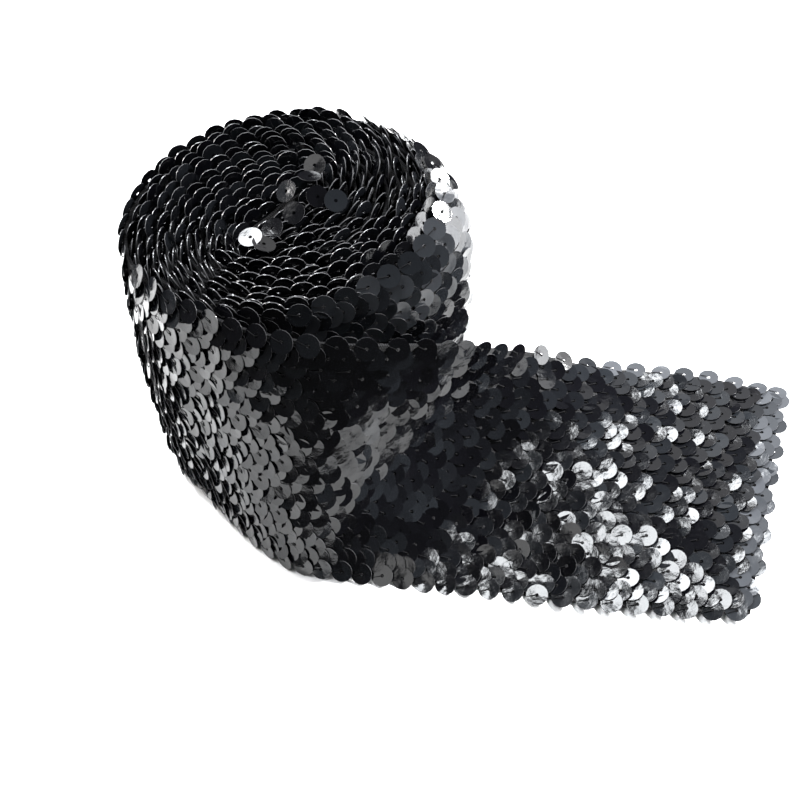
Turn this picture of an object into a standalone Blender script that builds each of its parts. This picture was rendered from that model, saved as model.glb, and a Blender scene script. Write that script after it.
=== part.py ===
"""Sequin trim: eight lengthwise rows of flat sequins on an elastic strip. The strip
is wound into a roll that stands on its edge, and its outer end is let out.

Metres, +Z up. The origin is on the roll's axis, at the level that the roll rests on.
The loose end leaves the roll at the left, leans against its front and lies out to +X.
Two pieces: the wound roll, as one solid, and the loose end, as a sheet.
"""
import math

import bpy
import numpy as np

MM = 0.001
TURN = 2 * math.pi

# The strip
ROWS = 8
ROW_PITCH = 10.3 * MM
ROW_DEPTH = 7.2 * MM
SEQUIN = 6.0 * MM
STRIP_WIDTH = (ROWS - 1) * ROW_PITCH + ROW_DEPTH + SEQUIN
STRIP_THICKNESS = 2.4 * MM
SCALLOP = 7.8 * MM
SCALLOP_DEPTH = 1.5 * MM

# The roll
ROLL_HEIGHT = 84.5 * MM
RIM_RADIUS = 39.9 * MM
TURN_PITCH = 3.1 * MM
OVAL = 2.9 * MM
OVAL_ANGLE = math.radians(48)
BARREL = 1.2 * MM
BASE_TUCK = 2.4 * MM
SHOULDER_HEIGHT = 24.0 * MM
SLUMP = 11.6 * MM
SLUMP_ANGLE = math.radians(4)
SLUMP_SPREAD = math.radians(96)
LEAVING_ANGLE = math.radians(205)
CORE_ANGLE = math.radians(52)
CORE_HALF_LENGTH = 12.0 * MM
CORE_HALF_WIDTH = 2.4 * MM
CORE_DEPTH = 8.0 * MM
CORE_STEEPNESS = 8
RIM_ROUNDING = 1.6 * MM

# The loose end's two long edges, from the roll to the free end: x, y and z in millimetres
LOWER_EDGE = (
    (-34.0, -17.4, 0.0),
    (-28.8, -24.0, 0.0),
    (-20.4, -36.2, 0.0),
    (-10.4, -46.8, 0.0),
    (3.0, -56.5, 0.0),
    (30.0, -61.8, 0.2),
    (57.0, -65.0, 0.6),
    (84.0, -69.4, 1.2),
    (110.0, -71.8, 1.4),
    (126.0, -72.2, 1.2),
)
UPPER_EDGE = (
    (-36.2, -18.4, 84.4),
    (-23.0, -32.0, 85.0),
    (-9.0, -41.0, 85.0),
    (5.5, -45.2, 84.5),
    (18.0, -43.6, 81.0),
    (31.0, -37.0, 73.0),
    (43.0, -26.0, 60.5),
    (53.0, -12.5, 46.0),
    (62.0, -1.0, 32.5),
    (71.0, 7.8, 22.5),
    (82.5, 13.4, 12.0),
    (97.0, 15.8, 6.0),
    (124.0, 15.2, 2.8),
    (151.0, 8.2, 1.4),
)
LEAST_ARCH = 1.8 * MM
FOOT_SHARE = 0.12
BOW_EASING = 31
NECKING = 0.95
LEAN_CLEARANCE = 0.6 * MM
PARABOLA_RISE = 3 / 8
ALONG_STEPS = 128
ACROSS_STEPS = 11
CURVE_SAMPLES = 24

# The mesh of the roll
ROLL_COLUMNS = 72
SIDE_RINGS = 12
TOP_RINGS = 6

BLACK_SEQUIN = (0.012, 0.013, 0.016, 1.0)
ROLL_ROUGHNESS = 0.25
SHEET_ROUGHNESS = 0.2
SHARP_ANGLE = math.radians(40)


def turned_share(angle):
    """How far around the outermost turn an angle lies, from 0 past the step to 1 before it."""
    return ((angle - LEAVING_ANGLE) % TURN) / TURN


def slump_share(angle):
    """How much the outermost turn slackens at an angle: 1 at the right, 0 beyond its spread."""
    offset = (angle - SLUMP_ANGLE + math.pi) % TURN - math.pi
    reach = np.clip(np.abs(offset) / SLUMP_SPREAD, 0, 1)
    return np.cos(reach * math.pi / 2) ** 2


def roll_radius(angle, height, share):
    """Radius of the roll's outer face: an oval spiral, tucked in below, slack at the right."""
    rise = np.clip(height / ROLL_HEIGHT, 0, 1)
    rim = RIM_RADIUS + OVAL * np.cos(2 * (angle - OVAL_ANGLE)) - TURN_PITCH * (1 - share)
    barrel = BARREL * np.sin(math.pi * rise) - BASE_TUCK * (1 - rise) ** 3
    below = np.clip((ROLL_HEIGHT - height) / SHOULDER_HEIGHT, 0, 1)
    shoulder = np.sqrt(1 - (1 - below) ** 2)
    return rim + barrel + SLUMP * slump_share(angle) * shoulder


def smooth_path(points, count):
    """Points at even steps along the smooth curve through a short list of points."""
    points = np.array(points, dtype=float) * MM
    ends = (2 * points[0] - points[1], 2 * points[-1] - points[-2])
    padded = np.vstack((ends[0], points, ends[1]))
    fine = []
    for index in range(1, len(padded) - 2):
        before, start, stop, after = padded[index - 1:index + 3]
        for t in np.linspace(0, 1, CURVE_SAMPLES, endpoint=False):
            fine.append(0.5 * (2 * start + (stop - before) * t
                               + (2 * before - 5 * start + 4 * stop - after) * t ** 2
                               + (3 * start - before - 3 * stop + after) * t ** 3))
    fine.append(points[-1])
    fine = np.array(fine)
    run = np.concatenate(((0,), np.cumsum(np.linalg.norm(np.diff(fine, axis=0), axis=1))))
    wanted = np.linspace(0, run[-1], count)
    return np.column_stack([np.interp(wanted, run, fine[:, axis]) for axis in range(3)])


def unit(vectors):
    """The vectors at length one."""
    return vectors / np.linalg.norm(vectors, axis=-1, keepdims=True)


def eased(values):
    """The values with each one averaged with its neighbours along the strip."""
    half = BOW_EASING // 2
    weights = np.hanning(BOW_EASING + 2)[1:-1]
    padded = np.pad(values, half, mode="edge")
    return np.convolve(padded, weights / weights.sum(), mode="valid")


def rest_on_roll(points, clearance):
    """Moves points that would enter the roll straight out, to the clearance from its face."""
    angle = np.arctan2(points[..., 1], points[..., 0])
    radius = np.hypot(points[..., 0], points[..., 1])
    face = roll_radius(angle, points[..., 2], turned_share(angle)) + clearance
    above = points[..., 2] > ROLL_HEIGHT + clearance
    push = np.where(above, 1.0, np.maximum(radius, face) / radius)
    return points * np.stack((push, push, np.ones_like(push)), axis=-1)


def strip_surface():
    """The middle surface of the loose end, as rows of points from lower to upper edge."""
    lower = smooth_path(LOWER_EDGE, ALONG_STEPS + 1)
    upper = smooth_path(UPPER_EDGE, ALONG_STEPS + 1)
    across = upper - lower
    chord = np.linalg.norm(across, axis=1)
    along = unit(np.gradient(0.5 * (lower + upper), axis=0))
    outward = unit(np.cross(along, across))
    slack = np.clip(NECKING * STRIP_WIDTH / chord - 1, 0, None)
    sag = chord * np.sqrt(PARABOLA_RISE * slack)
    bow = eased(np.where(sag > 0, -sag, LEAST_ARCH))
    v = np.linspace(0, 1, ACROSS_STEPS)
    straight = lower[:, None, :] + across[:, None, :] * v[None, :, None]
    arch = (bow[:, None] * 4 * v * (1 - v))[..., None] * outward[:, None, :]
    surface = rest_on_roll(straight + arch, LEAN_CLEARANCE + STRIP_THICKNESS / 2)
    lying = STRIP_THICKNESS / 2 * np.clip(v / FOOT_SHARE, 0, 1)
    surface[..., 2] = np.maximum(surface[..., 2], lying)
    return surface


def scalloped(surface):
    """Draws the two long edges in between the outermost sequins."""
    shape = surface.copy()
    for edge, inner in ((0, 1), (-1, -2)):
        run = np.linalg.norm(np.diff(surface[:, edge], axis=0), axis=1).sum()
        scallops = round(run / SCALLOP)
        wave = 0.5 - 0.5 * np.cos(np.linspace(0, scallops * TURN, len(surface)))
        inward = unit(surface[:, inner] - surface[:, edge])
        shape[:, edge] += inward * (SCALLOP_DEPTH * wave)[:, None]
    return shape


def strip_sheet():
    """Vertices and faces of the loose end: the surface given its thickness and closed."""
    middle = scalloped(strip_surface())
    along = np.gradient(middle, axis=0)
    across = np.gradient(middle, axis=1)
    normal = unit(np.cross(along, across))
    faces_out = middle + normal * STRIP_THICKNESS / 2
    faces_in = middle - normal * STRIP_THICKNESS / 2
    vertices = np.concatenate((faces_out.reshape(-1, 3), faces_in.reshape(-1, 3)))
    vertices[:, 2] = np.maximum(vertices[:, 2], 0)
    columns, rows = middle.shape[:2]
    back = columns * rows
    faces = []
    for i in range(columns - 1):
        for j in range(rows - 1):
            a = i * rows + j
            b = a + rows
            faces.append((a, b, b + 1, a + 1))
            faces.append((back + a, back + a + 1, back + b + 1, back + b))
    for i in range(columns - 1):
        a = i * rows
        b = a + rows
        faces.append((a, back + a, back + b, b))
        faces.append((a + rows - 1, b + rows - 1, back + b + rows - 1, back + a + rows - 1))
    last = (columns - 1) * rows
    for j in range(rows - 1):
        faces.append((j, j + 1, back + j + 1, back + j))
        faces.append((last + j, back + last + j, back + last + j + 1, last + j + 1))
    return vertices, faces


def roll_rings():
    """Rings of points from the roll's underside up its side and in over its top."""
    share = np.linspace(0, 1, ROLL_COLUMNS)
    angle = LEAVING_ANGLE + share * TURN
    direction = np.column_stack((np.cos(angle), np.sin(angle)))
    rings = []
    heights = ROLL_HEIGHT * np.linspace(0, 1, SIDE_RINGS) - RIM_ROUNDING
    heights[0] = 0
    for height in heights:
        radius = roll_radius(angle, height, share)
        rings.append(np.column_stack((direction * radius[:, None], np.full(len(angle), height))))
    rim = roll_radius(angle, ROLL_HEIGHT, share) - RIM_ROUNDING
    core = np.column_stack((CORE_HALF_LENGTH * np.cos(angle - CORE_ANGLE),
                            CORE_HALF_WIDTH * np.sin(angle - CORE_ANGLE)))
    turn_back = np.array(((math.cos(CORE_ANGLE), math.sin(CORE_ANGLE)),
                          (-math.sin(CORE_ANGLE), math.cos(CORE_ANGLE))))
    core = core @ turn_back
    outline = direction * rim[:, None]
    for step in range(TOP_RINGS):
        inward = step / (TOP_RINGS - 1)
        flat = outline * (1 - inward) + core * inward
        dip = CORE_DEPTH * inward ** CORE_STEEPNESS
        rings.append(np.column_stack((flat, np.full(len(angle), ROLL_HEIGHT - dip))))
    return rings


def roll_solid():
    """Vertices and faces of the roll: its rings joined, its underside and core closed."""
    rings = roll_rings()
    count = ROLL_COLUMNS
    faces = [tuple(reversed(range(count)))]
    for ring in range(len(rings) - 1):
        for column in range(count):
            beside = (column + 1) % count
            a = ring * count + column
            b = ring * count + beside
            faces.append((a, b, b + count, a + count))
    top = (len(rings) - 1) * count
    faces.append(tuple(range(top, top + count)))
    return np.concatenate(rings), faces


def sequin_material(name, roughness):
    """Glossy black plastic, for the solids that stand for the sequined strip."""
    material = bpy.data.materials.new(name)
    material.use_nodes = True
    shader = material.node_tree.nodes["Principled BSDF"]
    shader.inputs["Base Color"].default_value = BLACK_SEQUIN
    shader.inputs["Roughness"].default_value = roughness
    shader.inputs["Metallic"].default_value = 0.0
    return material


def add_piece(name, vertices, faces, material):
    """One named object from vertices and faces, shaded smooth but for its sharp edges."""
    mesh = bpy.data.meshes.new(name)
    mesh.from_pydata([tuple(vertex) for vertex in vertices], [], faces)
    mesh.validate()
    mesh.materials.append(material)
    mesh.shade_smooth()
    mesh.set_sharp_from_angle(angle=SHARP_ANGLE)
    piece = bpy.data.objects.new(name, mesh)
    bpy.context.scene.collection.objects.link(piece)
    return piece


for leftover in list(bpy.data.objects):
    bpy.data.objects.remove(leftover, do_unlink=True)
add_piece("roll", *roll_solid(), sequin_material("roll_sequins", ROLL_ROUGHNESS))
add_piece("loose_end", *strip_sheet(), sequin_material("loose_end_sequins", SHEET_ROUGHNESS))
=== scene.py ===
"""Looks of a roll of black sequin trim: its knit strip, its sequins and their stitches."""
import math

import bpy
import numpy as np
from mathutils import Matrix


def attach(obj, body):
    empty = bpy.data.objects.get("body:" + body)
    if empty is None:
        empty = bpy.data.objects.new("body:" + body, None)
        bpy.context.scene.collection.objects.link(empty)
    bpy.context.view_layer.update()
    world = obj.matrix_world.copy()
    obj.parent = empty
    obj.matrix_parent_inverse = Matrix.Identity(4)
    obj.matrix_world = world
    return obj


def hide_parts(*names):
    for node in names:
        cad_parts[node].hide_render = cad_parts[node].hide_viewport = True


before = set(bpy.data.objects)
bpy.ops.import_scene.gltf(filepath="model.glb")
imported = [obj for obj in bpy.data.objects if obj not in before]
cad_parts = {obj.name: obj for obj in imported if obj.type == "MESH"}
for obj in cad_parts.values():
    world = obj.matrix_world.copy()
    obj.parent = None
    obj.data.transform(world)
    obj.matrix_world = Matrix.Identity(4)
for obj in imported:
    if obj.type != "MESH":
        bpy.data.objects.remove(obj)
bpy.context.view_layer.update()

MM = 0.001
TURN = 2 * math.pi


# Camera, floor and light
# The camera looks down at 50 degrees from in front of the roll. The trim lies on a plain
# pale floor board in a dim room, lit by large soft panels. None of it is part of the trim.
camera = bpy.data.objects.new("camera", bpy.data.cameras.new("camera"))
camera.location = (0.0305, -0.249, 0.3034)
camera.rotation_euler = (math.radians(40), 0, 0)
camera.data.sensor_width = 36.0
camera.data.lens = 58.5
camera.data.clip_start = 0.01
bpy.context.scene.collection.objects.link(camera)
bpy.context.scene.camera = camera
bpy.context.scene.view_settings.view_transform = "Standard"


class Wire:
    """A shader socket that takes part in Python sums, and adds the nodes that work them out."""

    def __init__(self, tree, socket=None):
        self.tree = tree
        self.socket = socket

    def add(self, kind, settings=None, values=None, output=0):
        """Adds a node: its settings first, then the values or wires of its sockets."""
        node = self.tree.nodes.new(kind)
        for name, setting in (settings or {}).items():
            if name == "stops":
                ramp = node.color_ramp.elements
                while len(ramp) < len(setting):
                    ramp.new(0.5)
                for stop, (position, colour) in zip(ramp, setting):
                    stop.position = position
                    stop.color = colour
            else:
                setattr(node, name, setting)
        for name, value in (values or {}).items():
            if isinstance(value, Wire):
                self.tree.links.new(value.socket, node.inputs[name])
            else:
                node.inputs[name].default_value = value
        return Wire(self.tree, node.outputs[output])

    def sum(self, operation, first, second=0.0):
        """One Math node."""
        return self.add("ShaderNodeMath", {"operation": operation}, {0: first, 1: second})

    def mixed(self, low, high):
        """The colour between two others that this share gives."""
        return self.add("ShaderNodeMix", {"data_type": "RGBA"}, {0: self, 6: low, 7: high}, 2)

    def __add__(self, other):
        return self.sum("ADD", self, other)

    __radd__ = __add__

    def __mul__(self, other):
        return self.sum("MULTIPLY", self, other)

    __rmul__ = __mul__

    def __sub__(self, other):
        return self.sum("SUBTRACT", self, other)

    def __rsub__(self, other):
        return self.sum("SUBTRACT", other, self)

    def __truediv__(self, other):
        return self.sum("DIVIDE", self, other)


def new_material(name):
    """A material with its shader node, and a wire to add other nodes with."""
    material = bpy.data.materials.new(name)
    material.use_nodes = True
    return material, material.node_tree.nodes["Principled BSDF"], Wire(material.node_tree)


def feed(shader, **wires):
    """Leads wires into the shader's sockets, named in lower case."""
    for name, wire in wires.items():
        shader.id_data.links.new(wire.socket, shader.inputs[name.replace("_", " ").title()])


def piece_of(name, vertices, faces, material):
    """A mesh object in the scene, shaded smooth but for its sharp edges."""
    mesh = bpy.data.meshes.new(name)
    mesh.from_pydata([tuple(vertex) for vertex in vertices], [], faces)
    mesh.materials.append(material)
    mesh.shade_smooth()
    mesh.set_sharp_from_angle(angle=math.radians(40))
    piece = bpy.data.objects.new(name, mesh)
    bpy.context.scene.collection.objects.link(piece)
    return piece


FLOOR_LEFT, FLOOR_RIGHT, FLOOR_FRONT, FLOOR_BACK = -0.34, 0.42, -0.15, 0.45
FLOOR_WHITE = (0.86, 0.86, 0.86, 1.0)
floor_material, floor_shader, wire = new_material("pale_floor")
place = wire.add("ShaderNodeTexCoord", output=3)
grain = wire.add("ShaderNodeTexNoise", values={"Vector": place, "Scale": 9.0, "Detail": 3.0})
floor_shader.inputs["Base Color"].default_value = FLOOR_WHITE
feed(floor_shader, roughness=0.75 + 0.15 * grain)
floor_corners = ((FLOOR_LEFT, FLOOR_FRONT, 0), (FLOOR_RIGHT, FLOOR_FRONT, 0),
                 (FLOOR_RIGHT, FLOOR_BACK, 0), (FLOOR_LEFT, FLOOR_BACK, 0))
floor = piece_of("floor", floor_corners, [(0, 1, 2, 3)], floor_material)

world = bpy.data.worlds.new("surroundings")
world.use_nodes = True
world.node_tree.nodes["Background"].inputs["Color"].default_value = (0.93, 0.96, 1.0, 1.0)
world.node_tree.nodes["Background"].inputs["Strength"].default_value = 0.07
bpy.context.scene.world = world


def hung_light(light, place, aim, colour):
    """Hangs a light at a place, facing a point."""
    light.color = colour
    lamp = bpy.data.objects.new(light.name, light)
    lamp.location = place
    direction = np.array(aim) - np.array(place)
    heading = math.atan2(direction[1], direction[0])
    drop = math.atan2(-direction[2], math.hypot(direction[0], direction[1]))
    lamp.rotation_euler = (math.pi / 2 - drop, 0, heading - math.pi / 2)
    bpy.context.scene.collection.objects.link(lamp)


def soft_panel(name, place, aim, width, height, radiance, colour=(1, 1, 1)):
    """A soft light panel at a place, facing a point, of a size and brightness."""
    light = bpy.data.lights.new(name, "AREA")
    light.shape = "RECTANGLE"
    light.size = width
    light.size_y = height
    light.energy = radiance * math.pi * width * height
    hung_light(light, place, aim, colour)


def soft_pool(name, place, aim, reach, softness, brightness, colour=(1, 1, 1)):
    """A lamp that lights a round pool on the floor, out to a reach, and leaves the rest dim."""
    light = bpy.data.lights.new(name, "SPOT")
    distance = math.dist(place, aim)
    light.spot_size = 2 * math.atan2(reach, distance)
    light.spot_blend = 1.0
    light.shadow_soft_size = softness
    light.energy = brightness * 4 * math.pi ** 2 * distance ** 2
    hung_light(light, place, aim, colour)


soft_pool("right_pool", (0.75, 0.30, 0.50), (0.19, 0.08, 0.0), 0.20, 0.05, 8.0)
soft_pool("left_pool", (-0.50, 0.35, 0.75), (-0.16, 0.12, 0.0), 0.20, 0.06, 2.4)
soft_panel("back_wall", (0.20, 1.00, 0.85), (0.10, -0.03, 0.0), 1.6, 0.7, 0.9)
soft_panel("back_lamp", (-0.28, 0.43, 0.65), (0.08, -0.03, 0.0), 0.50, 0.21, 24.0, (0.94, 0.97, 1.0))
soft_panel("over_lamp", (-0.24, 0.03, 0.76), (0.055, -0.05, 0.0), 0.24, 0.20, 20.0, (0.94, 0.97, 1.0))
soft_panel("left_lamp", (-0.70, 0.25, 0.22), (0.0, 0.0, 0.03), 0.44, 0.34, 20.0, (1.0, 0.97, 0.95))
soft_panel("left_high", (-0.50, -0.35, 0.75), (0.0, -0.04, 0.08), 0.45, 0.35, 2.2)
soft_panel("right_lamp", (0.85, 0.14, 0.30), (0.05, 0.0, 0.03), 0.66, 0.36, 10.0, (0.97, 0.98, 1.0))
soft_panel("right_high", (0.75, 0.0, 0.62), (0.03, -0.02, 0.08), 0.35, 0.30, 2.6)


# Knit strip
# One length of fine black elastic knit, about 80 mm wide. It is wound outwards around a
# flattened core, and its outer end is let out: it leaves the roll at the left, leans on
# the roll's front, falls over and lies flat. The sequins are sewn through it.
SEQUIN = 6.0 * MM
ROWS = 8
ROW_PITCH = 10.3 * MM
ROW_DEPTH = 7.2 * MM
STRIP_WIDTH = (ROWS - 1) * ROW_PITCH + ROW_DEPTH + SEQUIN
STRIP_THICKNESS = 2.4 * MM
ROLL_HEIGHT = 84.5 * MM
RIM_RADIUS = 39.9 * MM
OVAL = 2.9 * MM
OVAL_ANGLE = math.radians(48)
BARREL = 1.2 * MM
BASE_TUCK = 2.4 * MM
SHOULDER_HEIGHT = 24.0 * MM
SLUMP = 11.6 * MM
SLUMP_ANGLE = math.radians(4)
SLUMP_SPREAD = math.radians(96)
LEAVING_ANGLE = math.radians(205)
CORE_ANGLE = math.radians(52)
CORE_HALF_LENGTH = 12.0 * MM
CORE_HALF_WIDTH = 0.8 * MM
TURNS = 13
SLACK_TURNS = 4
COLUMNS_PER_TURN = 72
ACROSS_STEPS = 16
WAVE_DEPTH = 0.35 * MM
EDGE_UNEVENNESS = 0.5 * MM

# The loose end's two long edges, from the roll to the free end: x, y and z in millimetres
LOWER_EDGE = (
    (-34.0, -17.4, 0.0),
    (-28.8, -24.0, 0.0),
    (-20.4, -36.2, 0.0),
    (-10.4, -46.8, 0.0),
    (3.0, -56.5, 0.0),
    (30.0, -61.8, 0.2),
    (57.0, -65.0, 0.6),
    (84.0, -69.4, 1.2),
    (110.0, -71.8, 1.4),
    (126.0, -72.2, 1.2),
)
UPPER_EDGE = (
    (-36.2, -18.4, 84.4),
    (-23.0, -32.0, 85.0),
    (-9.0, -41.0, 85.0),
    (5.5, -45.2, 84.5),
    (18.0, -43.6, 81.0),
    (31.0, -37.0, 73.0),
    (43.0, -26.0, 60.5),
    (53.0, -12.5, 46.0),
    (62.0, -1.0, 32.5),
    (71.0, 7.8, 22.5),
    (82.5, 13.4, 12.0),
    (97.0, 15.8, 6.0),
    (124.0, 15.2, 2.8),
    (151.0, 8.2, 1.4),
)
LEAST_ARCH = 1.8 * MM
FOOT_SHARE = 0.12
PARABOLA_RISE = 3 / 8
BOW_EASING = 31
NECKING = 0.95
LEAN_CLEARANCE = 0.6 * MM
LOOSE_COLUMNS = 128


def smooth_path(points, count):
    """Points at even steps along the smooth curve through a short list of points."""
    points = np.array(points, dtype=float) * MM
    padded = np.vstack((2 * points[0] - points[1], points, 2 * points[-1] - points[-2]))
    fine = []
    for index in range(1, len(padded) - 2):
        before, start, stop, after = padded[index - 1:index + 3]
        for t in np.linspace(0, 1, 24, endpoint=False):
            fine.append(0.5 * (2 * start + (stop - before) * t
                               + (2 * before - 5 * start + 4 * stop - after) * t ** 2
                               + (3 * start - before - 3 * stop + after) * t ** 3))
    fine = np.array(fine + [points[-1]])
    run = np.concatenate(((0,), np.cumsum(np.linalg.norm(np.diff(fine, axis=0), axis=1))))
    wanted = np.linspace(0, run[-1], count)
    return np.column_stack([np.interp(wanted, run, fine[:, axis]) for axis in range(3)])


def unit(vectors):
    """The vectors at length one."""
    return vectors / np.linalg.norm(vectors, axis=-1, keepdims=True)


def eased(values, span):
    """The values with each one averaged with its neighbours."""
    weights = np.hanning(span + 2)[1:-1]
    padded = np.pad(values, span // 2, mode="edge")
    return np.convolve(padded, weights / weights.sum(), mode="valid")


def rim_radius(angle):
    """Radius of the roll's outer face at its upper rim, an oval."""
    return RIM_RADIUS + OVAL * np.cos(2 * (angle - OVAL_ANGLE))


def roll_radius(angle, height):
    """Radius of the roll's outer face: its rim's, tucked in below, slack at the right."""
    rise = np.clip(height / ROLL_HEIGHT, 0, 1)
    barrel = BARREL * np.sin(math.pi * rise) - BASE_TUCK * (1 - rise) ** 3
    below = np.clip((ROLL_HEIGHT - height) / SHOULDER_HEIGHT, 0, 1)
    shoulder = np.sqrt(1 - (1 - below) ** 2)
    offset = (angle - SLUMP_ANGLE + math.pi) % TURN - math.pi
    reach = np.clip(np.abs(offset) / SLUMP_SPREAD, 0, 1)
    slack = SLUMP * np.cos(reach * math.pi / 2) ** 2 * shoulder
    return rim_radius(angle) + barrel + slack


def waves(turned, seed):
    """A smooth uneven swing between about -1 and 1 along the wound strip."""
    draw = np.random.default_rng(seed)
    total = np.zeros_like(turned)
    for beats in (1.7, 2.9, 5.3, 8.1):
        total += np.sin(turned * beats * TURN + draw.uniform(0, TURN)) / 2.5
    return total


def wound_strip():
    """The wound part's middle surface, as columns of points from lower to upper edge."""
    turned = np.linspace(0, TURNS, TURNS * COLUMNS_PER_TURN + 1)[:, None]
    share = turned / TURNS
    height = np.linspace(0, 1, ACROSS_STEPS + 1)[None, :] * ROLL_HEIGHT
    angle = LEAVING_ANGLE + TURN * turned
    loose = np.clip((TURNS - turned) * 2, 0, 1)
    slackened = np.clip((turned - TURNS + 1.2 + SLACK_TURNS) / SLACK_TURNS, 0, 1)
    face = rim_radius(angle) * (1 - slackened) + roll_radius(angle, height) * slackened
    radius = face - STRIP_THICKNESS / 2 + WAVE_DEPTH * loose * waves(turned, 5)
    long_way = CORE_HALF_LENGTH * np.cos(angle - CORE_ANGLE)
    short_way = CORE_HALF_WIDTH * np.sin(angle - CORE_ANGLE)
    core_x = long_way * math.cos(CORE_ANGLE) - short_way * math.sin(CORE_ANGLE)
    core_y = long_way * math.sin(CORE_ANGLE) + short_way * math.cos(CORE_ANGLE)
    x = radius * np.cos(angle) * share + core_x * (1 - share)
    y = radius * np.sin(angle) * share + core_y * (1 - share)
    z = height * (1 + EDGE_UNEVENNESS / ROLL_HEIGHT * loose * (waves(turned, 8) - 1))
    return np.stack((x, y, z), axis=-1)


def loose_strip():
    """The loose end's middle surface, as columns of points from lower to upper edge."""
    lower = smooth_path(LOWER_EDGE, LOOSE_COLUMNS + 1)
    upper = smooth_path(UPPER_EDGE, LOOSE_COLUMNS + 1)
    across = upper - lower
    chord = np.linalg.norm(across, axis=1)
    along = unit(np.gradient(0.5 * (lower + upper), axis=0))
    outward = unit(np.cross(along, across))
    slack = np.clip(NECKING * STRIP_WIDTH / chord - 1, 0, None)
    sag = chord * np.sqrt(PARABOLA_RISE * slack)
    bow = eased(np.where(sag > 0, -sag, LEAST_ARCH), BOW_EASING)
    v = np.linspace(0, 1, ACROSS_STEPS + 1)
    points = lower[:, None, :] + across[:, None, :] * v[None, :, None]
    points += (bow[:, None] * 4 * v * (1 - v))[..., None] * outward[:, None, :]
    angle = np.arctan2(points[..., 1], points[..., 0])
    radius = np.hypot(points[..., 0], points[..., 1])
    inner_turn = roll_radius(angle, points[..., 2]) * (1 - 1 / TURNS)
    face = inner_turn + LEAN_CLEARANCE + STRIP_THICKNESS / 2
    push = np.where(points[..., 2] > ROLL_HEIGHT, 1.0, np.maximum(radius, face) / radius)
    surface = points * np.stack((push, push, np.ones_like(push)), axis=-1)
    lying = STRIP_THICKNESS / 2 * np.clip(v / FOOT_SHARE, 0, 1)
    surface[..., 2] = np.maximum(surface[..., 2], lying)
    return surface


strip = np.concatenate((wound_strip(), loose_strip()))
strip_along = unit(np.gradient(strip, axis=0))
strip_out = unit(np.cross(strip_along, unit(np.gradient(strip, axis=1))))
FIRST_LOOSE = TURNS * COLUMNS_PER_TURN + 1


def on_strip(field, column, v):
    """A field of the strip's grid, read between its points."""
    column = np.clip(column, 0, len(field) - 1.001)
    row = np.clip(v, 0, 0.9999) * ACROSS_STEPS
    i = column.astype(int)
    j = row.astype(int)
    a = (column - i)[:, None]
    b = (row - j)[:, None]
    near = field[i, j] * (1 - b) + field[i, j + 1] * b
    far = field[i + 1, j] * (1 - b) + field[i + 1, j + 1] * b
    return near * (1 - a) + far * a


KNIT_MARGIN = 2.6 * MM
WOUND_MARGIN = 4.0 * MM
KNIT_SHORT = 2
KNIT_FRONT = 0.45 * MM
KNIT_BACK = 1.15 * MM
KNIT_BLACK = (0.002, 0.002, 0.003, 1.0)
KNIT_GREY = (0.010, 0.010, 0.011, 1.0)
LOOP = 0.9 * MM


def knit_material():
    """Black elastic knit: fine ribs along the strip, crossed by rows of loops."""
    material, shader, wire = new_material("elastic_knit")
    cloth = wire.add("ShaderNodeUVMap", {"uv_map": "cloth"})
    ways = wire.add("ShaderNodeSeparateXYZ", values={"Vector": cloth})
    up_cloth = Wire(ways.tree, ways.socket.node.outputs[1])
    rib = wire.sum("SINE", up_cloth * (TURN / LOOP))
    loop = wire.sum("SINE", ways * (TURN / (0.7 * LOOP)) + 1.3 * rib)
    fuzz = wire.add("ShaderNodeTexNoise", values={"Vector": cloth, "Scale": 900.0, "Detail": 4.0})
    relief = 0.5 + 0.22 * rib + 0.2 * loop + 0.3 * (fuzz - 0.5)
    bump = wire.add("ShaderNodeBump", values={"Height": relief, "Strength": 0.8, "Distance": 0.25 * MM})
    lit = wire.sum("POWER", wire.sum("MAXIMUM", relief, 0.0), 2.0)
    feed(shader, base_color=lit.mixed(KNIT_BLACK, KNIT_GREY), normal=bump, roughness=0.95 - 0.25 * lit)
    shader.inputs["Specular IOR Level"].default_value = 0.25
    shader.inputs["Sheen Weight"].default_value = 0.1
    return material


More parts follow.
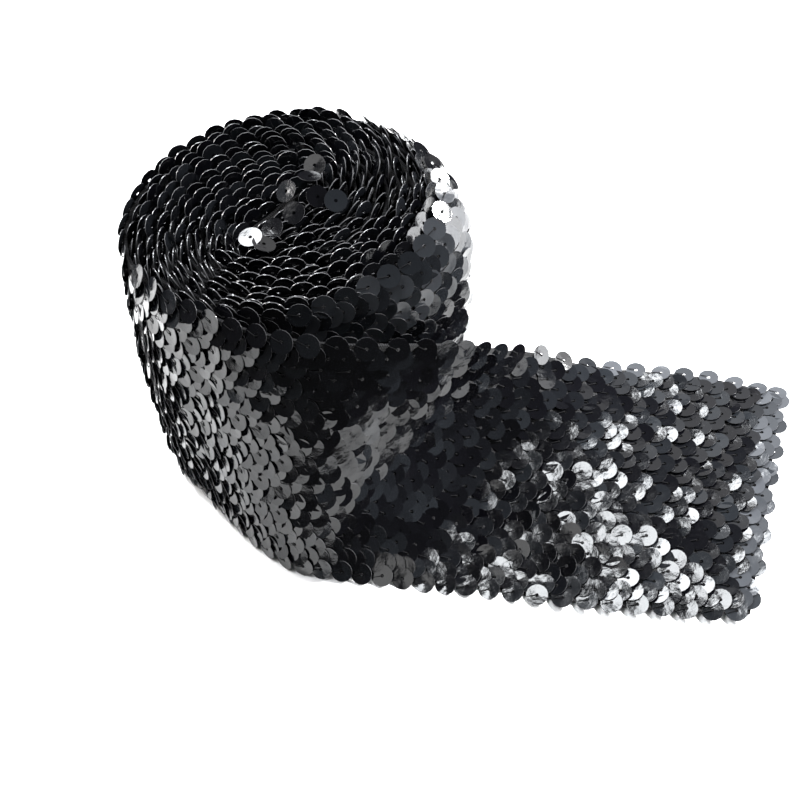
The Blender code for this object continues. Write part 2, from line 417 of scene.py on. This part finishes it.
def knit_strip():
    """The knit as a closed slim sheet on the strip's middle surface, within its sequins."""
    columns = np.arange(0, len(strip) - KNIT_SHORT)
    let_out = np.clip((columns - FIRST_LOOSE) / COLUMNS_PER_TURN + 1, 0, 1)
    margins = (WOUND_MARGIN + (KNIT_MARGIN - WOUND_MARGIN) * let_out) / STRIP_WIDTH
    front = []
    for column, margin in zip(columns, margins):
        across = np.linspace(margin, 1 - margin, 11)
        at = np.full(len(across), float(column))
        middle = on_strip(strip, at, across)
        out = on_strip(strip_out, at, across)
        front.append(np.stack((middle - out * KNIT_FRONT, middle - out * KNIT_BACK)))
    grid = np.array(front)
    faces_out = grid[:, 0]
    faces_in = grid[:, 1]
    vertices = np.concatenate((faces_out.reshape(-1, 3), faces_in.reshape(-1, 3)))
    vertices[:, 2] = np.maximum(vertices[:, 2], 0.1 * MM)
    count, rows = faces_out.shape[:2]
    back = count * rows
    faces = []
    for i in range(count - 1):
        for j in range(rows - 1):
            a = i * rows + j
            b = a + rows
            faces.append((a, b, b + 1, a + 1))
            faces.append((back + a, back + a + 1, back + b + 1, back + b))
        a = i * rows
        b = a + rows
        faces.append((a, back + a, back + b, b))
        faces.append((a + rows - 1, b + rows - 1, back + b + rows - 1, back + a + rows - 1))
    last = (count - 1) * rows
    for j in range(rows - 1):
        faces.append((j, j + 1, back + j + 1, back + j))
        faces.append((last + j, back + last + j, back + last + j + 1, last + j + 1))
    piece = piece_of("knit_strip", vertices, faces, knit_material())
    steps = np.linalg.norm(np.diff(faces_out[:, rows // 2], axis=0), axis=1)
    run = np.concatenate(((0,), np.cumsum(steps)))
    flat = np.stack(np.broadcast_arrays(run[:, None], across[None, :] * STRIP_WIDTH), axis=-1)
    flat = np.concatenate((flat.reshape(-1, 2), flat.reshape(-1, 2)))
    layer = piece.data.uv_layers.new(name="cloth")
    corner = np.zeros(len(piece.data.loops), dtype=np.int32)
    piece.data.loops.foreach_get("vertex_index", corner)
    layer.data.foreach_set("uv", flat[corner].astype(np.float32).ravel())
    return piece, run[-1]


knit, knit_length = knit_strip()
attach(knit, "root")
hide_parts("roll", "loose_end")


# Sequins
# Flat round discs of glossy black plastic film, 6 mm across, with a hole in the middle. They
# are sewn on in eight zigzag rows. Each one's front lies on the next, so they lean like
# shingles, and the outermost ones of the edge rows stand out past the knit. A few at the
# core have come loose and lie face up on the turns.
OUTER_PERIOD = 6.0 * MM
INNER_PERIOD = 5.2 * MM
LOOSE_PERIODS = 29.4
# Zigzags counted from the roll, with the share of the lower and of the upper edge there
SEWN_LINES = (
    (0.0, 0.0, 0.0),
    (11.0, 0.356, 0.270),
    (20.2, 0.656, 0.715),
    (29.4, 1.0, 1.0),
)
HOLE = 0.95 * MM
FILM = 0.14 * MM
WOUND_FILM = 0.2 * MM
# Film coordinates of the rim faces are stretched by this much, which marks them for the painted highlight
# on the cut edge.
RIM_MARK = 1.2
DISH = 0.10 * MM
LIFT = 0.22 * MM
LEAN = math.radians(15)
WOUND_LEAN = math.radians(17)
EDGE_SPLAY = math.radians(14)
EDGE_RAGGED = 0.55
CHAIN_PULL = 0.3
SLATE = (0.014, 0.016, 0.019, 1.0)
JET = (0.002, 0.002, 0.003, 1.0)
# Painted light: a pale grey put into the sequins' colour where light comes through their film, along the
# lying end's upper edge at the right, at its end and on the outer turn's right shoulder.
PAINTED_LIGHT_GREY = (0.085, 0.09, 0.10, 1.0)
PAINTED_LIGHT_EDGE_FROM = 92 * MM
PAINTED_LIGHT_END_PERIODS = 1.1
# The outer turn's right shoulder, where light also comes through, painted into its sequins as a paler
# grey: from and to, in degrees
PAINTED_LIGHT_SHOULDER = (-80.0, 15.0)
# Painted highlight: the light grey of the sequins' cut edges, for the thin arcs of light their rims
# catch.
PAINTED_RIM_HIGHLIGHT = (0.12, 0.12, 0.125, 1.0)
CALM = math.radians(6)
RESTLESS = math.radians(8)
TUMBLED = math.radians(12)
# Where the hanging strip's sequins tip up: x, z and half widths in mm, by degrees
TIPPED_UP = (
    (4.0, 80.0, 60.0, 26.0, 19.0),
    (36.0, 66.0, 22.0, 20.0, 20.0),
    (5.0, 29.0, 18.0, 16.0, 18.0),
    (36.0, 48.0, 12.0, 14.0, 16.0),
)
# Where the lying strip's sequins tip to the front, crowded at the foot of the fall: x, y
TIPPED_FORWARD = (
    (56.0, -48.0, 38.0, 13.0, 18.0),
)
# The outer turn's front rim, where its top row splays up: from and to, in degrees of the turn
SPLAYED_RIM = (-128.0, 12.0)
SPLAYED_MOST = math.radians(33)
# Loose sequins on the core: x, y, z in mm, then facing's heading and rise in degrees
STRAYS = (
    (-6.0, -14.9, 86.2, 219.7, 79.0),
    (-2.6, -16.6, 85.6, 20.0, 72.0),
    (-1.0, -11.0, 85.4, 215.0, 62.0),
    (4.0, -5.0, 85.2, 235.0, 55.0),
    (7.4, 8.3, 85.8, 75.0, 74.0),
    (9.8, 0.2, 86.0, 300.0, 60.0),
    (14.4, -0.9, 85.6, 285.0, 58.0),
    (1.6, 3.4, 85.0, 215.0, 50.0),
    (8.4, 13.5, 85.0, 240.0, 52.0),
)


def counts_back():
    """Zigzags from where the strip leaves the roll back to each wound column, below zero."""
    steps = np.linalg.norm(np.diff(strip[:FIRST_LOOSE, -1], axis=0), axis=1)
    period = np.where(np.arange(len(steps)) > FIRST_LOOSE - 1.2 * COLUMNS_PER_TURN,
                      OUTER_PERIOD, INNER_PERIOD)
    return -np.concatenate((np.cumsum((steps / period)[::-1])[::-1], (0,)))


wound_counts = counts_back()


def column_at(period, v):
    """The strip's column at a count of zigzags from where it leaves the roll."""
    wound = np.interp(period, wound_counts, np.arange(FIRST_LOOSE))
    fine = np.linspace(0, LOOSE_PERIODS, 301)
    lines = np.array(SEWN_LINES)
    lower = eased(np.interp(fine, lines[:, 0], lines[:, 1]), 61)
    upper = eased(np.interp(fine, lines[:, 0], lines[:, 2]), 61)
    share = (1 - v) * np.interp(period, fine, lower) + v * np.interp(period, fine, upper)
    return np.where(period <= 0, wound, FIRST_LOOSE + share * LOOSE_COLUMNS)


def sewn_row(row, first, last):
    """Column and height share of each stitch of a row's zigzag between two counts."""
    period = np.arange(round(first * 4), round(last * 4)) / 4
    swing = np.cos(TURN * period)
    v = (SEQUIN / 2 + ROW_DEPTH / 2 * (1 + swing) + row * ROW_PITCH) / STRIP_WIDTH
    return column_at(period, v), v


def swells(place, axis, table):
    """Angles that swell over the patches of a table, at places read along x and an axis."""
    total = np.zeros(len(place))
    for x, other, half_x, half_other, degrees in table:
        reach = ((place[:, 0] / MM - x) / half_x) ** 2 + ((place[:, axis] / MM - other) / half_other) ** 2
        total += math.radians(degrees) * np.exp(-reach)
    return total


def crowded(place, seed):
    """How each sequin of the loose end is tipped, as a vector added to what it faces."""
    up = np.tan(swells(place, 2, TIPPED_UP))
    forward = np.tan(swells(place, 1, TIPPED_FORWARD))
    return np.column_stack((np.zeros(len(place)), -forward, up))


def splayed_up(place, seed):
    """How the outer turn's sequins are tipped: its top row's splay up along the front rim."""
    angle = np.degrees(np.arctan2(place[:, 1], place[:, 0]))
    rim = (angle > SPLAYED_RIM[0]) & (angle < SPLAYED_RIM[1])
    high = np.clip((place[:, 2] - (ROLL_HEIGHT - 13 * MM)) / (10 * MM), 0, 1)
    draw = np.random.default_rng(seed)
    up = np.tan(rim * high * SPLAYED_MOST * draw.uniform(0.2, 1.0, len(place)))
    return up[:, None] * np.array((0, 0, 1.0))


def sequin_places(spans, seed, splay=0.0, tips=None):
    """Places, facings and headings of the sequins of (row, first, last) spans of zigzags."""
    draw = np.random.default_rng(seed)
    found = {"place": [], "facing": [], "heading": [], "v": [], "column": []}
    for row, first, last in spans:
        column, v = sewn_row(row, first, last)
        place = on_strip(strip, column, v)
        facing = unit(on_strip(strip_out, column, v))
        along = unit(on_strip(strip_along, column, v))
        place = place + facing * (SEQUIN / 4 * math.sin(splay))
        outward = np.cross(facing, along) * np.sign(v - 0.5)[:, None]
        facing = unit(facing - math.tan(splay) * outward)
        if tips:
            tip = tips(place, seed + row)
            facing = unit(facing + tip)
            place = place + facing * (SEQUIN / 5 * np.linalg.norm(tip, axis=1, keepdims=True))
            along = unit(along - facing * (along * facing).sum(axis=1, keepdims=True))
        onward = unit(np.vstack((place[1:] - place[:-1], along[-1:] * MM)))
        heading = unit(along + CHAIN_PULL * onward)
        heading = unit(heading - facing * (heading * facing).sum(axis=1, keepdims=True))
        side = np.cross(facing, heading)
        place = place + facing * (LIFT + draw.uniform(-0.08, 0.08, len(v)) * MM)[:, None]
        place += heading * (draw.normal(0, 0.16, len(v)) * MM)[:, None]
        place += side * (draw.normal(0, 0.16, len(v)) * MM)[:, None]
        if splay:
            place += outward * (draw.normal(0, EDGE_RAGGED, len(v)) * MM)[:, None]
        for name, value in (("place", place), ("facing", facing), ("heading", heading)):
            found[name].append(value)
        found["v"].append(v)
        found["column"].append(column)
    return {name: np.concatenate(value) for name, value in found.items()}


def stray_places():
    """Places of the loose sequins on the core, in the form that sequin_places gives."""
    x, y, z, heading, rise = np.array(STRAYS).T
    heading = np.radians(heading)
    rise = np.radians(rise)
    facing = np.column_stack((np.cos(heading) * np.cos(rise), np.sin(heading) * np.cos(rise),
                              np.sin(rise)))
    sideways = np.column_stack((-np.sin(heading), np.cos(heading), np.zeros(len(x))))
    return {"place": np.column_stack((x, y, z)) * MM, "facing": facing, "heading": sideways,
            "v": np.ones(len(x)), "column": np.zeros(len(x))}


def disc(name, segments, thickness, material):
    """One sequin as a mesh: a slightly dished ring of film around its hole."""
    outline = ((HOLE / 2, 0.0), (SEQUIN / 2, DISH),
               (SEQUIN / 2, DISH - thickness), (HOLE / 2, -thickness))
    vertices = []
    for segment in range(segments):
        angle = TURN * segment / segments
        vertices += [(r * math.cos(angle), r * math.sin(angle), z) for r, z in outline]
    faces = []
    for segment in range(segments):
        a = segment * 4
        b = (segment + 1) % segments * 4
        for k in range(4):
            step = (k + 1) % 4
            faces.append((a + k, a + step, b + step, b + k))
    piece = piece_of(name, vertices, faces, material)
    layer = piece.data.uv_layers.new(name="film")
    for face in piece.data.polygons:
        # Rim faces get stretched film coordinates, for the painted highlight on the cut edge.
        rim = all(index % 4 in (1, 2) for index in face.vertices)
        scale = RIM_MARK if rim else 1.0
        for index in face.loop_indices:
            x, y, z = vertices[piece.data.loops[index].vertex_index]
            layer.data[index].uv = (scale * x / MM, scale * y / MM)
    return piece


def sewing_tree():
    """Geometry nodes that put a piece on every point, turned by the point's own directions."""
    tree = bpy.data.node_groups.new("sew_on", "GeometryNodeTree")
    for name, kind in (("Geometry", "NodeSocketGeometry"), ("Piece", "NodeSocketObject"),
                       ("Lean", "NodeSocketFloat"), ("Unevenness", "NodeSocketFloat"),
                       ("Seed", "NodeSocketInt"), ("Material", "NodeSocketMaterial")):
        tree.interface.new_socket(name, in_out="INPUT", socket_type=kind)
    tree.interface.new_socket("Geometry", in_out="OUTPUT", socket_type="NodeSocketGeometry")
    nodes = tree.nodes
    given = nodes.new("NodeGroupInput")
    result = nodes.new("NodeGroupOutput")
    directions = {}
    for name in ("facing", "heading"):
        directions[name] = nodes.new("GeometryNodeInputNamedAttribute")
        directions[name].data_type = "FLOAT_VECTOR"
        directions[name].inputs["Name"].default_value = name
    turned = nodes.new("FunctionNodeAxesToRotation")
    turned.primary_axis = "Z"
    turned.secondary_axis = "X"
    back = nodes.new("ShaderNodeMath")
    back.operation = "SUBTRACT"
    back.inputs[0].default_value = 0.0
    least = nodes.new("ShaderNodeMath")
    least.operation = "SUBTRACT"
    most = nodes.new("ShaderNodeMath")
    most.operation = "SUBTRACT"
    low = nodes.new("ShaderNodeCombineXYZ")
    high = nodes.new("ShaderNodeCombineXYZ")
    chance = nodes.new("FunctionNodeRandomValue")
    chance.data_type = "FLOAT_VECTOR"
    euler = nodes.new("FunctionNodeEulerToRotation")
    rocked = nodes.new("FunctionNodeRotateRotation")
    rocked.rotation_space = "LOCAL"
    info = nodes.new("GeometryNodeObjectInfo")
    spread = nodes.new("GeometryNodeInstanceOnPoints")
    real = nodes.new("GeometryNodeRealizeInstances")
    finish = nodes.new("GeometryNodeSetMaterial")
    for start, end in (
        (directions["facing"].outputs["Attribute"], turned.inputs["Primary Axis"]),
        (directions["heading"].outputs["Attribute"], turned.inputs["Secondary Axis"]),
        (given.outputs["Unevenness"], back.inputs[1]),
        (back.outputs[0], low.inputs[0]),
        (given.outputs["Unevenness"], high.inputs[0]),
        (back.outputs[0], least.inputs[0]),
        (given.outputs["Lean"], least.inputs[1]),
        (given.outputs["Unevenness"], most.inputs[0]),
        (given.outputs["Lean"], most.inputs[1]),
        (least.outputs[0], low.inputs[1]),
        (most.outputs[0], high.inputs[1]),
        (low.outputs[0], chance.inputs[0]),
        (high.outputs[0], chance.inputs[1]),
        (given.outputs["Seed"], chance.inputs["Seed"]),
        (chance.outputs[0], euler.inputs["Euler"]),
        (turned.outputs[0], rocked.inputs["Rotation"]),
        (euler.outputs[0], rocked.inputs["Rotate By"]),
        (given.outputs["Piece"], info.inputs["Object"]),
        (given.outputs["Geometry"], spread.inputs["Points"]),
        (info.outputs["Geometry"], spread.inputs["Instance"]),
        (rocked.outputs[0], spread.inputs["Rotation"]),
        (spread.outputs[0], real.inputs[0]),
        (real.outputs[0], finish.inputs["Geometry"]),
        (given.outputs["Material"], finish.inputs["Material"]),
        (finish.outputs[0], result.inputs[0]),
    ):
        tree.links.new(start, end)
    return tree


sewing = sewing_tree()


def sewn_on(name, pattern, places, tones, seed, lean, unevenness):
    """Copies of a pattern at all places, as one plain mesh in the pattern's material."""
    points = bpy.data.meshes.new(name + "_points")
    points.from_pydata([tuple(place) for place in places["place"]], [], [])
    for label in ("facing", "heading"):
        field = points.attributes.new(label, "FLOAT_VECTOR", "POINT")
        field.data.foreach_set("vector", places[label].astype(np.float32).ravel())
    tone = points.attributes.new("tone", "FLOAT", "POINT")
    tone.data.foreach_set("value", tones.astype(np.float32))
    carrier = bpy.data.objects.new(name + "_points", points)
    bpy.context.scene.collection.objects.link(carrier)
    modifier = carrier.modifiers.new("sewing", "NODES")
    modifier.node_group = sewing
    inputs = {"Piece": pattern, "Lean": lean, "Unevenness": unevenness, "Seed": seed,
              "Material": pattern.data.materials[0]}
    for item in sewing.interface.items_tree:
        if item.in_out == "INPUT" and item.name in inputs:
            modifier[item.identifier] = inputs[item.name]
    graph = bpy.context.evaluated_depsgraph_get()
    mesh = bpy.data.meshes.new_from_object(carrier.evaluated_get(graph))
    bpy.data.objects.remove(carrier)
    low = np.zeros(len(mesh.vertices) * 3, dtype=np.float32)
    mesh.vertices.foreach_get("co", low)
    low = low.reshape(-1, 3)
    low[:, 2] = np.maximum(low[:, 2], 0.02 * MM)
    mesh.vertices.foreach_set("co", low.ravel())
    mesh.name = name
    piece = bpy.data.objects.new(name, mesh)
    bpy.context.scene.collection.objects.link(piece)
    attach(piece, "root")
    return piece


def film_material():
    """Glossy black film, a little creased, darker or greyer from one sequin to the next, with painted
    light: paler where light comes through it, and a painted highlight on its cut edge.
    """
    material, shader, wire = new_material("black_film")
    tone = wire.add("ShaderNodeAttribute", {"attribute_name": "tone"}, output=2)
    film = wire.add("ShaderNodeUVMap", {"uv_map": "film"})
    apart = wire.add("ShaderNodeCombineXYZ", values={2: tone * 40.0})
    spot = wire.add("ShaderNodeVectorMath", {"operation": "ADD"}, {0: film, 1: apart})
    crease = wire.add("ShaderNodeTexNoise", values={"Vector": spot, "Scale": 0.55, "Detail": 2.5})
    speck = wire.add("ShaderNodeTexNoise", values={"Vector": spot, "Scale": 3.0, "Detail": 3.0})
    radius = wire.add("ShaderNodeVectorMath", {"operation": "LENGTH"}, {0: film}, output=1)
    groove = wire.sum("SINE", radius * (TURN / 0.5))
    relief = crease + 0.1 * speck + 0.006 * groove
    bump = wire.add("ShaderNodeBump", values={"Height": relief, "Strength": 0.16, "Distance": 0.4 * MM})
    # Painted highlight: where the film coordinates reach past the disc's edge, on the rim faces, the
    # colour turns light grey.
    painted_rim_mask = wire.sum("GREATER_THAN", radius, 0.51 * SEQUIN / MM)
    grey = wire.sum("MINIMUM", tone, 1.0)
    # Painted light: tones above 1 mix in the pale grey that stands for light coming through the film.
    painted_light = wire.sum("MAXIMUM", tone - 1.0, 0.0)
    colour = painted_light.mixed((grey * grey * grey).mixed(JET, SLATE), PAINTED_LIGHT_GREY)
    feed(shader, base_color=painted_rim_mask.mixed(colour, PAINTED_RIM_HIGHLIGHT), normal=bump,
         roughness=0.07 + 0.12 * speck)
    shader.inputs["IOR"].default_value = 1.55
    return material


STITCH = ((0.0, -0.9), (0.0, 0.06), (-0.5, 0.27), (-1.6, 0.25), (-2.8, 0.06), (-3.1, -0.4))
STITCH_RADIUS = 0.11
STITCH_SIDES = 5


def thread_material():
    """Matt black sewing thread."""
    material, shader, wire = new_material("black_thread")
    spot = wire.add("ShaderNodeTexCoord", output=3)
    twist = wire.add("ShaderNodeTexNoise", values={"Vector": spot, "Scale": 2500.0, "Detail": 2.0})
    feed(shader, roughness=0.75 + 0.2 * twist)
    shader.inputs["Base Color"].default_value = (0.004, 0.004, 0.005, 1.0)
    shader.inputs["Specular IOR Level"].default_value = 0.3
    return material


def stitch(name, material):
    """One stitch as a mesh: thread that comes up through the hole and goes down at the rim."""
    vertices = []
    for x, z in STITCH:
        for side in range(STITCH_SIDES):
            turn = TURN * side / STITCH_SIDES
            if x == 0.0 and z < 0:
                offset = (math.cos(turn), math.sin(turn), 0.0)
            else:
                offset = (0.35 * math.cos(turn), math.sin(turn), math.cos(turn))
            vertices.append((x * MM + offset[0] * STITCH_RADIUS * MM,
                             offset[1] * STITCH_RADIUS * MM,
                             z * MM + offset[2] * STITCH_RADIUS * MM))
    faces = [tuple(reversed(range(STITCH_SIDES)))]
    for ring in range(len(STITCH) - 1):
        for side in range(STITCH_SIDES):
            a = ring * STITCH_SIDES + side
            b = ring * STITCH_SIDES + (side + 1) % STITCH_SIDES
            faces.append((a, b, b + STITCH_SIDES, a + STITCH_SIDES))
    last = (len(STITCH) - 1) * STITCH_SIDES
    faces.append(tuple(range(last, last + STITCH_SIDES)))
    return piece_of(name, vertices, faces, material)


film = film_material()
one_stitch = stitch("one_stitch", thread_material())
whole_disc = disc("whole_disc", 16, FILM, film)
plain_disc = disc("plain_disc", 14, FILM, film)
edge_disc = disc("edge_disc", 12, WOUND_FILM, film)


def tones_of(places, seed, greyest):
    """How grey each sequin is, from 0 to 1, and to 2 where light that comes through its film is painted
    in as a paler grey.
    """
    draw = np.random.default_rng(seed)
    tones = draw.uniform(0.0, greyest, len(places["v"]))
    end = column_at(np.array([LOOSE_PERIODS - PAINTED_LIGHT_END_PERIODS]), np.array([0.5]))
    # Painted light: upper-edge sequins at the right and the end's last ones get tones above 1, a paler
    # grey.
    upper = (places["v"] > 0.93) & (places["place"][:, 0] > PAINTED_LIGHT_EDGE_FROM)
    painted_light = upper | (places["column"] > end)
    tones = np.where(painted_light, draw.uniform(1.1, 1.8, len(tones)), tones)
    angle = np.degrees(np.arctan2(places["place"][:, 1], places["place"][:, 0]))
    outer = (places["column"] > FIRST_LOOSE - 1.2 * COLUMNS_PER_TURN) & (places["column"] < FIRST_LOOSE)
    # Painted light, too, on the upper sequins of the outer turn's right shoulder.
    shoulder = outer & (places["v"] > 0.8) & (angle > PAINTED_LIGHT_SHOULDER[0]) & (angle < PAINTED_LIGHT_SHOULDER[1])
    return np.where(shoulder, draw.uniform(0.7, 1.6, len(tones)), tones)


outermost = math.ceil(wound_counts[FIRST_LOOSE - 1 - round(1.12 * COLUMNS_PER_TURN)])
innermost = math.ceil(wound_counts[0])
loose_places = sequin_places([(row, 0.0, 29.5) for row in range(ROWS)], 11, tips=crowded)
outer_places = sequin_places([(row, outermost, 0.0) for row in range(ROWS)], 12, tips=splayed_up)
upper_places = sequin_places([(ROWS - 1, innermost, outermost)], 13, EDGE_SPLAY)
lower_places = sequin_places([(0, innermost, outermost)], 15, EDGE_SPLAY)
deep_places = sequin_places([(ROWS - 2, innermost, outermost)], 14)

for name, pattern, places, greyest, lean, unevenness, seed in (
    ("loose_end_sequins", whole_disc, loose_places, 1.0, LEAN, CALM, 21),
    ("outer_turn_sequins", plain_disc, outer_places, 1.0, WOUND_LEAN, RESTLESS, 22),
    ("upper_edge_sequins", edge_disc, upper_places, 1.0, WOUND_LEAN, TUMBLED, 23),
    ("lower_edge_sequins", edge_disc, lower_places, 1.0, WOUND_LEAN, TUMBLED, 26),
    # Painted shade: the deeper row's sequins, down between the turns, take tones up to 0.3 only, which
    # keeps them near jet black.
    ("deeper_sequins", edge_disc, deep_places, 0.3, WOUND_LEAN, CALM, 24),
    ("stray_sequins", whole_disc, stray_places(), 1.0, 0.0, 0.0, 25),
    ("loose_end_stitches", one_stitch, loose_places, 1.0, LEAN, CALM, 21),
    ("outer_turn_stitches", one_stitch, outer_places, 1.0, WOUND_LEAN, RESTLESS, 22),
):
    tones = tones_of(places, seed, greyest)
    piece = sewn_on(name, pattern, places, tones, seed, lean, unevenness)


for pattern in (whole_disc, plain_disc, edge_disc, one_stitch):
    bpy.data.objects.remove(pattern)
